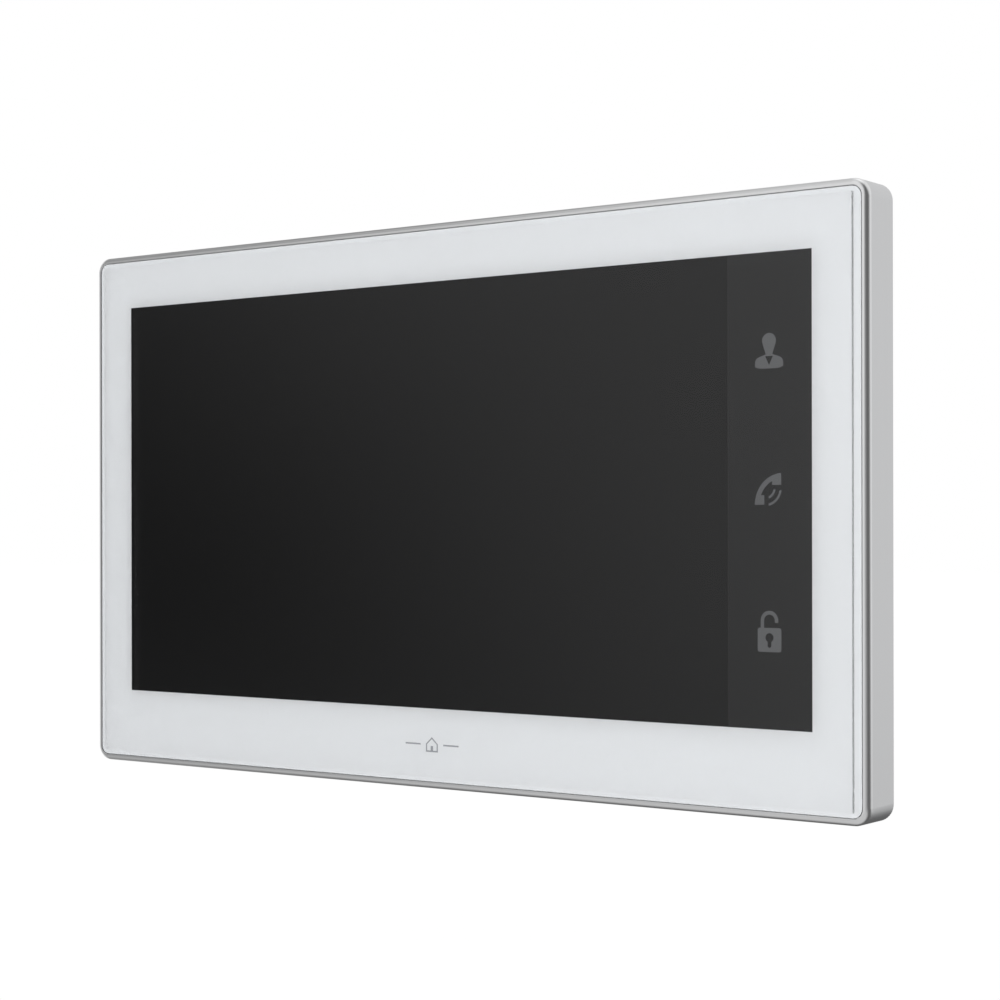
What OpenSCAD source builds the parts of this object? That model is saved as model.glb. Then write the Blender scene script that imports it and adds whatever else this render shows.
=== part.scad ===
// Wall-hung video door-entry monitor: silver frame, printed cover glass, display, touch keys,
// circuit board, speaker and microphone behind it, closed by a rear cover that hooks on a wall bracket.
// Every piece is drawn lying on its back on the wall plane (x right, y up, z towards the viewer)
// and is then stood up, so that the front faces -Y and the wall plane is Y = 0.

/* [Frame] */
// Width of the frame at its front edge
frame_w = 280.2; // [240:0.1:360]
// Height of the frame at its front edge
frame_h = 166.1; // [164:0.1:220]
// Radius of the frame's outline at its corners
frame_r = 4.8; // [4:0.1:12]
// Depth of the frame's side wall
frame_d = 14.2; // [13.2:0.1:20]
// Distance from the wall to the back of the frame's side wall
back_d = 9.8; // [8.6:0.1:14]
// Thickness of the frame's wall
frame_wall = 1.95; // [1.9:0.05:3]
// Radius of the polished front edge
edge_r = 1.75; // [0.4:0.05:1.75]
// Bevel on the lip's inner edge
lip_bevel = 0.1; // [0.05:0.05:0.15]
// How much wider each side is at the back than at the front
frame_draft = 0.1; // [0:0.05:0.6]
// Width of the ledge that carries the glass
ledge_w = 4; // [3:0.1:6]
// Thickness of the ledge
ledge_t = 1.5; // [1:0.1:2]

/* [Cover glass] */
// Thickness of the cover glass
glass_t = 1.1; // [0.7:0.1:2]
// Gap between the glass and the lip
glass_gap = 0.15; // [0.1:0.05:0.5]
// How far the glass lies below the lip
glass_recess = 0.1; // [0:0.05:0.6]
// Thickness of the printed layers on the back of the glass
print_t = 0.1; // [0.05:0.05:0.2]
// Thickness of the foam tape under the glass
tape_t = 0.4; // [0.2:0.1:1]

/* [Window and keys] */
// Width of the dark window, key strip included
window_w = 248.8; // [200:0.1:260]
// Height of the dark window
window_h = 125.6; // [100:0.1:140]
// Height of the window's centre above the frame's centre
window_y = 3.2; // [0:0.05:6]
// How far the window's centre lies left of the frame's centre
window_left_by = 1; // [0:0.1:2]
// Width of the smoked key strip at the window's right end
strip_w = 25; // [22:0.5:30]
// Distance between neighbouring touch keys
key_pitch = 37; // [25:0.5:45]
// Distance of the front mark below the window
mark_drop = 10.6; // [7:0.1:14]

/* [Display] */
// Width of the dark border around the display's picture, left, right and top
lcd_border = 6; // [4:0.5:8]
// Height of the display's driver edge below the picture
lcd_driver_edge = 11.7; // [8:0.1:14]
// Thickness of the liquid-crystal cell with its polarisers
lcd_cell_t = 1.4; // [1:0.1:2]
// Thickness of the light guide and its films
lcd_guide_t = 2.8; // [2:0.1:3.5]
// Thickness of the display's sheet-metal tray
tray_t = 0.5; // [0.3:0.1:0.8]
// Thickness of the straps that hold the display
strap_t = 1; // [0.8:0.1:1.5]

/* [Boards] */
// Thickness of the main board
board_t = 1.6; // [1.2:0.2:2]
// Gap between the rear plate and the main board
board_gap = 1.2; // [0.8:0.1:2]
// Thickness of the touch board
touch_board_t = 1.2; // [0.8:0.1:1.6]
// Thickness of the light-spreading sheet in front of the touch board
diffuser_t = 0.4; // [0.2:0.1:0.6]
// Width of the touch board
touch_board_w = 22; // [18:0.5:24]

/* [Rear cover] */
// Thickness of the rear cover's plate
plate_t = 1.5; // [1.2:0.1:2.5]
// Thickness of the rear cover's other walls
cover_wall = 1.8; // [1.4:0.1:2.5]
// Width of the raised back box
back_box_w = 216; // [176:1:262]
// Height of the raised back box
back_box_h = 118; // [116:1:130]
// Radius of the back box's corners
back_box_r = 8; // [4:0.5:15]
// How far the rear plate stays inside the frame's outline
plate_inset = 1.2; // [1:0.1:3]
// Thickness of the rubber pads that touch the wall
pad_t = 1; // [0.6:0.1:2]
// Radius of the rubber pads
pad_r = 6; // [4:0.5:8]

/* [Wall bracket] */
// Width of the bracket
bracket_w = 130; // [126:1:140]
// Height of the bracket
bracket_h = 84; // [80:1:90]
// Thickness of the bracket's steel
bracket_t = 1.2; // [1:0.1:1.5]
// Width of each hook
hook_w = 12; // [8:1:14]
// Height of each hook's upturned tip
hook_tip = 5.5; // [4:0.5:6]
// How far the monitor lifts to come off its hooks
lift = 7; // [6.5:0.5:8]
// Distance between the corner screws, sideways
wall_screw_x = 72; // [64:1:76]
// Distance between the corner screws, upwards
wall_screw_y = 68; // [64:1:72]
// Radius of the wall screws' holes
wall_screw_r = 2.25; // [1.5:0.05:2.5]
// Distance between the two slots for a flush wall box
box_screw_x = 60; // [58:0.5:62]
// Length of each wall-box slot
box_slot = 8; // [6:0.5:9]
// Width of the cable window
cable_w = 48; // [40:1:50]
// Height of the cable window
cable_h = 28; // [24:1:30]

/* [Sound] */
// Length of the speaker
speaker_w = 40; // [30:1:42]
// Height of the speaker
speaker_h = 20; // [16:1:20]
// Radius of the microphone's rubber boot
mic_boot_r = 3; // [2.5:0.1:3.2]
// Radius of the microphone capsule
mic_r = 2; // [1.5:0.1:2.2]

/* [Small parts] */
// Radius of the case screws' shanks
screw_r = 1.35; // [1:0.05:1.6]
// Clearance around screw shanks
screw_clear = 0.05; // [0.02:0.01:0.15]
// Width of the memory card
card_w = 11; // [11:0.1:11.2]
// Length of the memory card
card_l = 15; // [14.8:0.1:15.2]
// Thickness of the memory card
card_t = 0.8; // [0.7:0.05:1]
// Clearance around the memory card and the switch's slider
slide_clear = 0.2; // [0.15:0.05:0.35]
// How far the power switch slides
switch_travel = 2; // [1.5:0.1:3]

/* [Hidden] */
$fn = 96;

// Heights above the wall
total_d = back_d + frame_d;
back_z = back_d;
plate_z = back_z - plate_t;
glass_z = total_d - glass_recess - glass_t;
print_z = glass_z - print_t;
ledge_z = print_z - tape_t - ledge_t;
lcd_front_z = print_z - tape_t;
guide_z = lcd_front_z - lcd_cell_t - lcd_guide_t;
tray_z = guide_z - tray_t;
board_z = back_z + board_gap;
board_top = board_z + board_t;
touch_board_z = print_z - diffuser_t - touch_board_t;
cover_floor_z = pad_t + cover_wall;
bracket_gap = 3;
pocket_z = bracket_t + bracket_gap;
pocket_floor = 1.6;

// Outlines in the plane of the wall
inner_w = frame_w - 2 * frame_wall;
inner_h = frame_h - 2 * frame_wall;
inner_r = frame_r - frame_wall;
glass_w = inner_w - 2 * glass_gap;
glass_h = inner_h - 2 * glass_gap;
glass_r = inner_r - glass_gap;
ledge_open_w = inner_w - 2 * ledge_w;
ledge_open_h = inner_h - 2 * ledge_w;
window_left = -window_w / 2 - window_left_by;
window_right = window_w / 2 - window_left_by;
window_top = window_y + window_h / 2;
window_bottom = window_y - window_h / 2;
strip_left = window_right - strip_w;
key_x = window_right - strip_w / 2;
mark_y = window_bottom - mark_drop;
lcd_left = window_left - lcd_border;
lcd_right = strip_left + lcd_border;
lcd_top = window_top + lcd_border;
lcd_bottom = window_bottom - lcd_driver_edge;
touch_board_x = lcd_right + 0.8;
touch_board_h = 2 * key_pitch + 36;

// Case posts stand in the corners and at the middle of the top and bottom
post_r = 2.8;
post_x = inner_w / 2 - post_r - 0.7;
post_y = inner_h / 2 - post_r - 0.7;
CASE_POSTS = [for (x = [-post_x, 0, post_x], y = [-post_y, post_y]) [x, y]];
screw_len = 8;
head_t = 1.2;
head_r = 2.6;

// Display straps and their posts
strap_w = 12;
strap_grip = 10;
strap_post_r = 2.4;
strap_post_y = inner_h / 2 - strap_post_r - 0.3;
STRAPS = [for (x = [-70, 60], side = [-1, 1]) [x, side]];
strap_screw_r = 0.9;
strap_head_t = 1.3;

// Main board: its left edge lies against the frame's left wall, where the card and the switch are
board_left = -inner_w / 2 + 0.55;
board_right = 40;
board_bottom = -40;
board_top_edge = 56;
board_post_x = back_box_w / 2 - 8;
BOARD_POSTS = [[-board_post_x, -32], [-board_post_x, 50], [30, 50]];
board_post_low = [31, -35.5];
board_post_r = 3;
board_screw_r = 1.05;
board_hole_r = board_screw_r + screw_clear;
BOARD_SCREWS = concat(BOARD_POSTS, [board_post_low]);

// Ribbon cables
ribbon_t = 0.3;
ribbon_z = tray_z - ribbon_t;
lcd_ribbon_w = 26;
lcd_ribbon_x = -17;
lcd_ribbon_top = 10;
lcd_ribbon_drop = -18;
touch_ribbon_w = 8;
touch_ribbon_y = 33;
touch_ribbon_drop = 20;
touch_ribbon_rise = lcd_right + 1.2;
socket_t = 2;

// Connectors that face the wall, in the cable bay
header_size = [12.5, 6, 8];
header_pitch = 15;
header_y = -24;
HEADERS = [for (i = [0:3]) -29.5 + i * header_pitch];
terminal_x = 30.5;
terminal_size = [10, 8, 8];
bay_w = 76;
bay_bottom = -29.5;
bay_top = 15;

// Memory card and its socket, opening in the left wall
card_y = -1;
card_z = board_top + 0.6;
card_out = -frame_w / 2 + 0.4;
socket_size = [15, 14.5, 1.9];
socket_x = board_left + 0.5;

// Power switch, opening in the left wall
switch_size = [3.6, 8.6, 3.6];
switch_y = 27;
switch_x = board_left + 0.8;
knob = [2, 1.8];
knob_z = board_top + switch_size[2] / 2;

// Wall bracket and the pocket that takes it
hook_x = 52;
HOOKS = [for (x = [-hook_x, hook_x], y = [30, -22]) [x, y]];
hook_rest_gap = 0.1;
hook_reach = pocket_z + pocket_floor + 0.3;
hook_slot_side = 0.6;
hook_slot_below = 1.6;
pocket_side = 2;
pocket_w = bracket_w + 2 * pocket_side;
pocket_top = bracket_h / 2 + 1;
pocket_bottom = -bracket_h / 2 - lift - 1.5;
pad_x = back_box_w / 2 - pad_r - 6;
pad_y = back_box_h / 2 - pad_r - 5;

// Microphone
mic_x = 37;
mic_above_plate = 1.2;
mic_z = back_z + mic_boot_r + mic_above_plate;
mic_len = 1.6;
mic_boot_len = 5;
mic_hole_r = 0.75;
wire_r = 0.5;
wire_gap = 1.4;

// Speaker, which plays through slots in the rear plate
speaker_x = -108;
speaker_y = -inner_h / 2 + 2.5 + speaker_h / 2;
speaker_rim = 1.6;
gasket_t = 0.6;
basket_t = 3.2;
magnet_t = 2;
grille_pitch = 4.6;

// ---- Shared shapes ----

// Stands a piece up from the bench: z towards the viewer becomes -Y
module stand() rotate([90, 0, 0]) children();

// Rectangle with round corners, centred
module round_rect(w, h, r) {
    square([w - 2 * r, h], center = true);
    square([w, h - 2 * r], center = true);
    for (x = [-1, 1], y = [-1, 1])
        translate([x * (w / 2 - r), y * (h / 2 - r)]) circle(r);
}

// Slab with round corners, standing on height z
module slab(w, h, r, z, t) translate([0, 0, z]) linear_extrude(t) round_rect(w, h, r);

// Box given by its two corners
module box_between(low, high) translate(low) cube(high - low);

// Box centred on a point in the plane, standing on height z
module block(x, y, z, size) translate([x - size[0] / 2, y - size[1] / 2, z]) cube(size);

// Sweeps a section around a round-cornered rectangle; the section's x = 0 lies on the outline
module sweep_outline(w, h, r) {
    for (turn = [0, 2])
        rotate([0, 0, 90 * turn]) translate([w / 2, h / 2 - r, 0])
            rotate([90, 0, 0]) linear_extrude(h - 2 * r) children();
    for (turn = [1, 3])
        rotate([0, 0, 90 * turn]) translate([h / 2, w / 2 - r, 0])
            rotate([90, 0, 0]) linear_extrude(w - 2 * r) children();
    for (corner = [[1, 1, 0], [-1, 1, 90], [-1, -1, 180], [1, -1, 270]])
        translate([corner[0] * (w / 2 - r), corner[1] * (h / 2 - r), 0])
            rotate([0, 0, corner[2]]) rotate_extrude(angle = 90) translate([r, 0]) children();
}

// Arc of a flat ring, from one angle over a sweep, standing on height z
module ring_arc(x, y, r, stroke, from, sweep, z, t)
    translate([x, y, z]) rotate([0, 0, from])
        rotate_extrude(angle = sweep) translate([r - stroke / 2, 0]) square([stroke, t]);

// Straight round wire between two points
module wire(p, q, r) {
    d = q - p;
    translate(p) rotate([0, acos(d[2] / norm(d)), atan2(d[1], d[0])]) cylinder(h = norm(d), r = r);
}

// Wire through a list of points, with round bends
module wire_run(points, r) {
    for (i = [0 : len(points) - 2]) wire(points[i], points[i + 1], r);
    for (i = [1 : len(points) - 2]) translate(points[i]) sphere(1.04 * r, $fn = 24);
}

// ---- Front ----

// The frame's wall in section: rounded front edge, flat lip, inner bevel
module frame_section() {
    polygon([[frame_draft, back_z], [0, total_d - edge_r], [-edge_r, total_d - edge_r],
        [-edge_r, total_d], [lip_bevel - frame_wall, total_d],
        [-frame_wall, total_d - lip_bevel], [-frame_wall, back_z]]);
    translate([-edge_r, total_d - edge_r]) intersection() {
        circle(edge_r);
        square(edge_r);
    }
}

module front_frame() color("silver") stand() difference() {
    union() {
        sweep_outline(frame_w, frame_h, frame_r) frame_section();
        difference() {
            slab(inner_w + frame_wall, inner_h + frame_wall, frame_r, ledge_z, ledge_t);
            slab(ledge_open_w, ledge_open_h, frame_r, ledge_z - 1, ledge_t + 2);
        }
        for (p = CASE_POSTS)
            translate([p[0], p[1], back_z + plate_t])
                cylinder(h = ledge_z - back_z - plate_t, r = post_r);
        for (s = STRAPS) translate([s[0], s[1] * strap_post_y, tray_z])
            cylinder(h = ledge_z - tray_z, r = strap_post_r);
    }
    for (p = CASE_POSTS)
        translate([p[0], p[1], plate_z]) cylinder(h = screw_len + head_t, r = screw_r + screw_clear);
    for (s = STRAPS) translate([s[0], s[1] * strap_post_y, tray_z - 1])
        cylinder(h = ledge_z - tray_z, r = strap_screw_r + screw_clear);
    // microphone hole through the bottom wall
    translate([mic_x, -inner_h / 2 + 1, mic_z]) rotate([90, 0, 0])
        cylinder(h = frame_wall + frame_draft + 2, r = mic_hole_r);
    // card slot with its finger scoop, and the switch's slot, in the left wall
    block(-frame_w / 2, card_y, card_z - slide_clear,
        [4 * frame_wall, card_w + 2 * slide_clear, card_t + 2 * slide_clear]);
    translate([-frame_w / 2 - 5.2, card_y, card_z + card_t / 2]) cylinder(h = 5, r = 6, center = true);
    block(-frame_w / 2, switch_y, knob_z - knob[1] / 2 - slide_clear,
        [4 * frame_wall, knob[0] + switch_travel + 2 * slide_clear, knob[1] + 2 * slide_clear]);
}

module front_glass() color("white", 0.35) stand() slab(glass_w, glass_h, glass_r, glass_z, glass_t);

module border_print() color("whitesmoke") stand() difference() {
    slab(glass_w, glass_h, glass_r, print_z, print_t);
    box_between([window_left, window_bottom, print_z - 1], [window_right, window_top, print_z + 1]);
    mark(print_z - 1, 2);
}

// Generic mark under the window: a small house outline between two thin rules
module mark(z, t) translate([-window_left_by, mark_y, z]) {
    stroke = 0.45;
    house_w = 4.4;
    rise = 2;
    difference() {
        linear_extrude(t) polygon([[-house_w / 2, -2.2], [house_w / 2, -2.2], [house_w / 2, 0.2],
            [0, 0.2 + rise], [-house_w / 2, 0.2]]);
        translate([0, 0, -1]) linear_extrude(t + 2)
            polygon([[-house_w / 2 + stroke, -2.2 + stroke], [house_w / 2 - stroke, -2.2 + stroke],
                [house_w / 2 - stroke, 0.2 - stroke / 4], [0, 0.2 + rise - 1.25 * stroke],
                [-house_w / 2 + stroke, 0.2 - stroke / 4]]);
    }
    block(0, -1.3, 0, [0.9, 1.8, t]);
    for (side = [-1, 1]) block(side * 7, 0, 0, [5.6, stroke, t]);
}

module front_mark() color("gray") stand() mark(print_z, print_t);

// Pictogram of a caller: head, shoulders and open collar
module caller_icon(z, t) translate([0, 0, z]) difference() {
    union() {
        linear_extrude(t) hull() {
            translate([0, 2.45]) circle(2.05);
            translate([0, -0.7]) circle(1.05);
        }
        linear_extrude(t) hull() {
            translate([0, -1.75]) circle(0.95);
            for (side = [-1, 1]) translate([side * 2.6, -3.3]) circle(1.55);
        }
        block(0, -3.9, 0, [8.3, 1.1, t]);
    }
    translate([0, 0, -1]) linear_extrude(t + 2) polygon([[-1.15, -1.6], [1.15, -1.6], [0, -3.95]]);
}

// Pictogram of a handset with two sound waves
module handset_icon(z, t) {
    hub = [4.05, -3.69];
    intersection() {
        translate([hub[0], hub[1], z]) cylinder(h = t, r = 8.34);
        union() {
            ring_arc(hub[0], hub[1], 7.67, 1.34, 94, 86, z, t);
            block(2.18, 3, z, [2.67, 3, t]);
            block(-2.86, -2.42, z, [2.8, 2.5, t]);
        }
    }
    ring_arc(-1.2, 0.8, 2.8, 0.62, -68, 58, z, t);
    ring_arc(-1.2, 0.8, 4.6, 0.62, -77, 68, z, t);
}

// Pictogram of an open padlock
module padlock_icon(z, t) {
    difference() {
        translate([0, -2.25, 0]) slab(7, 6.35, 0.6, z, t);
        translate([0, -1.66, z - 1]) cylinder(h = t + 2, r = 1.2);
        translate([0, -3.75, z - 1]) cylinder(h = t + 2, r = 0.55);
        block(0, -2.7, z - 1, [1.1, 2.1, t + 2]);
    }
    ring_arc(0, 2.85, 2.1, 1.02, 0, 180, z, t);
    block(-2.1, 1.8, z, [1.02, 2.1, t]);
    block(2.1, 2.58, z, [1.02, 0.54, t]);
}

module icons(z, t) translate([key_x, window_y, 0]) {
    translate([0, key_pitch, 0]) caller_icon(z, t);
    handset_icon(z, t);
    translate([0, -key_pitch, 0]) padlock_icon(z, t);
}

module strip_print() color([0.22, 0.22, 0.23]) stand() difference() {
    box_between([strip_left, window_bottom, print_z], [window_right, window_top, print_z + print_t]);
    icons(print_z - 1, 2);
}

module touch_icons() color("darkgray") stand() icons(print_z, print_t);

module glass_tape() color([0.1, 0.1, 0.1]) stand() difference() {
    slab(glass_w - 1, glass_h - 1, glass_r, ledge_z + ledge_t, tape_t);
    slab(ledge_open_w, ledge_open_h, frame_r, ledge_z, ledge_t + 2);
}

// ---- Display ----

module lcd_gasket() color([0.1, 0.1, 0.1]) stand() difference() {
    box_between([lcd_left + 0.8, lcd_bottom + 0.8, lcd_front_z], [lcd_right - 0.8, lcd_top - 0.8, print_z]);
    box_between([lcd_left + 3.4, lcd_bottom + 3.4, lcd_front_z - 1],
        [lcd_right - 3.4, lcd_top - 3.4, print_z + 1]);
}

module lcd_cell() color([0.04, 0.04, 0.05]) stand()
    box_between([lcd_left + tray_t, lcd_bottom + tray_t, lcd_front_z - lcd_cell_t],
        [lcd_right - tray_t, lcd_top - tray_t, lcd_front_z]);

module lcd_light_guide() color([0.93, 0.95, 0.96]) stand()
    box_between([lcd_left + tray_t, lcd_bottom + tray_t, guide_z],
        [lcd_right - tray_t, lcd_top - tray_t, guide_z + lcd_guide_t]);

module lcd_tray() color([0.72, 0.73, 0.75]) stand() difference() {
    box_between([lcd_left, lcd_bottom, tray_z], [lcd_right, lcd_top, lcd_front_z - lcd_cell_t / 2]);
    box_between([lcd_left + tray_t, lcd_bottom + tray_t, guide_z],
        [lcd_right - tray_t, lcd_top - tray_t, lcd_front_z + 1]);
}

module lcd_straps() color([0.7, 0.7, 0.72]) stand() for (s = STRAPS) {
    lcd_edge = s[1] > 0 ? lcd_top : -lcd_bottom;
    outer = inner_h / 2 - 0.3;
    difference() {
        block(s[0], s[1] * (outer + lcd_edge - strap_grip) / 2, tray_z - strap_t,
            [strap_w, outer - lcd_edge + strap_grip, strap_t]);
        translate([s[0], s[1] * strap_post_y, tray_z - strap_t - 1])
            cylinder(h = strap_t + 2, r = strap_screw_r + screw_clear);
    }
}

module strap_screws() color([0.6, 0.6, 0.62]) stand() for (s = STRAPS)
    translate([s[0], s[1] * strap_post_y, tray_z - strap_t - strap_head_t]) {
        difference() {
            cylinder(h = strap_head_t, r = 1.9);
            for (turn = [0, 90]) rotate([0, 0, turn]) block(0, 0, -1, [2, 0.45, 1.7]);
        }
        cylinder(h = strap_head_t + strap_t + 2, r = strap_screw_r);
    }

module lcd_ribbon() color([0.85, 0.6, 0.25]) stand() {
    block(lcd_ribbon_x, (lcd_ribbon_top + lcd_ribbon_drop) / 2, ribbon_z,
        [lcd_ribbon_w, lcd_ribbon_top - lcd_ribbon_drop, ribbon_t]);
    box_between([lcd_ribbon_x - lcd_ribbon_w / 2, lcd_ribbon_drop, board_top + socket_t],
        [lcd_ribbon_x + lcd_ribbon_w / 2, lcd_ribbon_drop + ribbon_t, ribbon_z + ribbon_t]);
}

// ---- Touch keys ----

module touch_diffuser() color([0.95, 0.95, 0.92]) stand()
    box_between([touch_board_x, window_y - touch_board_h / 2, print_z - diffuser_t],
        [touch_board_x + touch_board_w, window_y + touch_board_h / 2, print_z]);

module touch_board() color([0.05, 0.3, 0.16]) stand() difference() {
    box_between([touch_board_x, window_y - touch_board_h / 2, touch_board_z],
        [touch_board_x + touch_board_w, window_y + touch_board_h / 2, touch_board_z + touch_board_t]);
    for (i = [-1:1]) translate([key_x, window_y + i * key_pitch, touch_board_z - 1])
        cylinder(h = touch_board_t + 2, r = 1.2);
}

module touch_leds() color([0.95, 0.92, 0.75]) stand()
    for (i = [-1:1]) block(key_x, window_y + i * key_pitch, touch_board_z - 0.8, [3.2, 2.8, 0.8]);

module touch_chip() color([0.12, 0.12, 0.13]) stand()
    block(key_x + 1, window_y + 0.5 * key_pitch, touch_board_z - 0.9, [5, 5, 0.9]);

module touch_ribbon() color([0.9, 0.9, 0.88]) stand() {
    low_y = touch_ribbon_y - touch_ribbon_w / 2;
    high_y = touch_ribbon_y + touch_ribbon_w / 2;
    box_between([touch_ribbon_rise, low_y, ribbon_z],
        [touch_ribbon_rise + ribbon_t, high_y, touch_board_z]);
    box_between([touch_ribbon_drop, low_y, ribbon_z],
        [touch_ribbon_rise + ribbon_t, high_y, ribbon_z + ribbon_t]);
    box_between([touch_ribbon_drop, low_y, board_top + socket_t],
        [touch_ribbon_drop + ribbon_t, high_y, ribbon_z + ribbon_t]);
}

module ribbon_sockets() color([0.92, 0.9, 0.84]) stand() {
    block(lcd_ribbon_x, lcd_ribbon_drop, board_top, [lcd_ribbon_w + 4, 4.5, socket_t]);
    block(touch_ribbon_drop, touch_ribbon_y, board_top, [4.5, touch_ribbon_w + 4, socket_t]);
}

// ---- Main board ----

module main_board() color([0.04, 0.28, 0.14]) stand() difference() {
    box_between([board_left, board_bottom, board_z], [board_right, board_top_edge, board_top]);
    for (p = BOARD_SCREWS) translate([p[0], p[1], board_z - 1]) cylinder(h = board_t + 2, r = board_hole_r);
}

module board_chips() color([0.1, 0.1, 0.11]) stand() {
    for (c = [[-96, 14, 10, 10], [-30, 22, 9, 13], [-30, 40, 9, 13], [-5, 12, 8, 6], [-84, -20, 7, 7]])
        block(c[0], c[1], board_top, [c[2], c[3], 1.2]);
}

module processor() color([0.14, 0.14, 0.15]) stand() block(-62, 24, board_top, [17, 17, 1.3]);

module shield_can() color([0.78, 0.79, 0.8]) stand() difference() {
    block(-62, 24, board_top, [30, 26, 2.6]);
    block(-62, 24, board_top - 1, [29.2, 25.2, 3.2]);
    for (x = [-8, 0, 8], y = [-6, 6]) translate([x - 62, y + 24, board_top]) cylinder(h = 4, r = 0.8);
}

module capacitors() color([0.75, 0.76, 0.78]) stand()
    for (x = [12, 20], y = [44, 52]) translate([x - board_post_x, y, board_top]) cylinder(h = 4, r = 3.1);

module coils() color([0.2, 0.2, 0.22]) stand()
    for (x = [2, 14]) translate([x, 46, 0]) slab(8, 8, 1.6, board_top, 3.8);

module door_connectors() color([0.95, 0.94, 0.9]) stand() for (x = HEADERS) difference() {
    block(x, header_y, board_z - header_size[2], header_size);
    block(x, header_y, board_z - header_size[2] - 1,
        [header_size[0] - 1.6, header_size[1] - 1.4, header_size[2] - 0.2]);
}

module power_terminal() color([0.1, 0.45, 0.25]) stand() difference() {
    block(terminal_x, header_y, board_z - terminal_size[2], terminal_size);
    for (side = [-1, 1]) {
        translate([terminal_x + side * 2.5, header_y - 1.4, board_z - terminal_size[2] - 1])
            cylinder(h = 3, r = 1.6);
        block(terminal_x + side * 2.5, header_y + 2.4, board_z - terminal_size[2] - 1, [2.8, 2.4, 6]);
    }
}

module terminal_screws() color([0.7, 0.7, 0.72]) stand() for (side = [-1, 1])
    translate([terminal_x + side * 2.5, header_y - 1.4, board_z - terminal_size[2] + 0.6]) difference() {
        cylinder(h = 1.4, r = 1.5);
        block(0, 0, -1, [4, 0.5, 1.5]);
    }

// ---- Memory card and power switch ----

module card_socket() color([0.8, 0.81, 0.82]) stand() difference() {
    box_between([socket_x, card_y - socket_size[1] / 2, board_top],
        [socket_x + socket_size[0], card_y + socket_size[1] / 2, board_top + socket_size[2]]);
    box_between([socket_x - 1, card_y - card_w / 2 - slide_clear, card_z - slide_clear],
        [card_out + card_l + slide_clear, card_y + card_w / 2 + slide_clear,
            card_z + card_t + slide_clear]);
}

module memory_card() color([0.08, 0.08, 0.09]) stand() difference() {
    box_between([card_out, card_y - card_w / 2, card_z],
        [card_out + card_l, card_y + card_w / 2, card_z + card_t]);
    block(card_out + card_l - 2, card_y + card_w / 2, card_z - 1, [5, 2.4, card_t + 2]);
}

module switch_body() color([0.2, 0.2, 0.22]) stand() difference() {
    box_between([switch_x, switch_y - switch_size[1] / 2, board_top],
        [switch_x + switch_size[0], switch_y + switch_size[1] / 2, board_top + switch_size[2]]);
    block(switch_x, switch_y, knob_z - knob[1] / 2 - slide_clear,
        [3, knob[0] + switch_travel + 2 * slide_clear, knob[1] + 2 * slide_clear]);
}

module switch_slider() color([0.93, 0.93, 0.93]) stand()
    box_between([-frame_w / 2 + 0.2, switch_y - switch_travel / 2 - knob[0] / 2, knob_z - knob[1] / 2],
        [switch_x + 1.2, switch_y - switch_travel / 2 + knob[0] / 2, knob_z + knob[1] / 2]);

// ---- Sound ----

module microphone() color([0.7, 0.71, 0.73]) stand()
    translate([mic_x, -inner_h / 2 + mic_boot_len - 1, mic_z]) rotate([90, 0, 0])
        cylinder(h = mic_len, r = mic_r);

module mic_boot() color([0.12, 0.12, 0.12]) stand()
    translate([mic_x, -inner_h / 2 + mic_boot_len, mic_z]) rotate([90, 0, 0]) difference() {
        cylinder(h = mic_boot_len, r = mic_boot_r);
        translate([0, 0, 1]) cylinder(h = mic_len, r = mic_r);
        translate([0, 0, 1 + mic_len - 0.5]) cylinder(h = mic_boot_len, r = mic_hole_r);
        for (side = [-1, 1]) translate([side * wire_gap / 2, 0, -1]) cylinder(h = 2.5, r = wire_r);
    }

module mic_leads() color([0.7, 0.1, 0.1]) stand() for (side = [-1, 1]) {
    x = mic_x + side * wire_gap / 2;
    wire_run([[x, -inner_h / 2 + mic_boot_len - 1, mic_z], [x, board_bottom + 8, mic_z],
        [x, board_bottom + 8, board_top]], wire_r);
}

module speaker_outline(inset, z, t) translate([speaker_x, speaker_y, 0])
    slab(speaker_w - 2 * inset, speaker_h - 2 * inset, 4 - inset, z, t);

module speaker_gasket() color([0.1, 0.1, 0.1]) stand() difference() {
    speaker_outline(0, back_z, gasket_t);
    speaker_outline(speaker_rim, back_z - 1, gasket_t + 2);
}

module speaker_basket() color([0.3, 0.3, 0.32]) stand() difference() {
    speaker_outline(0, back_z + gasket_t, basket_t);
    speaker_outline(speaker_rim, back_z, gasket_t + basket_t - 0.8);
}

module speaker_cone() color([0.16, 0.16, 0.17]) stand() {
    speaker_outline(speaker_rim + 0.1, back_z + gasket_t + 1, 0.4);
    translate([speaker_x, speaker_y, back_z + gasket_t + 1.4]) cylinder(h = basket_t - 2.2, r = 5);
}

module speaker_magnet() color([0.6, 0.6, 0.62]) stand() translate([speaker_x, speaker_y, 0])
    slab(22, 12, 2, back_z + gasket_t + basket_t, magnet_t);

module speaker_leads() color([0.1, 0.1, 0.1]) stand() for (side = [-1, 1]) {
    x = speaker_x + 12 + side * wire_gap / 2;
    wire_run([[x, speaker_y + speaker_h / 2 - 2, back_z + gasket_t + basket_t + wire_r],
        [x, board_bottom + 3, back_z + gasket_t + basket_t + wire_r],
        [x, board_bottom + 3, board_top]], wire_r);
}

// ---- Rear ----

module hook_slots(z, t) for (h = HOOKS)
    box_between([h[0] - hook_w / 2 - hook_slot_side, h[1] - hook_slot_below - lift, z],
        [h[0] + hook_w / 2 + hook_slot_side, h[1] + hook_rest_gap, z + t]);

module vents() for (i = [-12:12], side = [-1, 1])
    block(i * 6, side * back_box_h / 2, pad_t + 2.6, [2.4, 3 * cover_wall, plate_z - pad_t - 4]);

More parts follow.
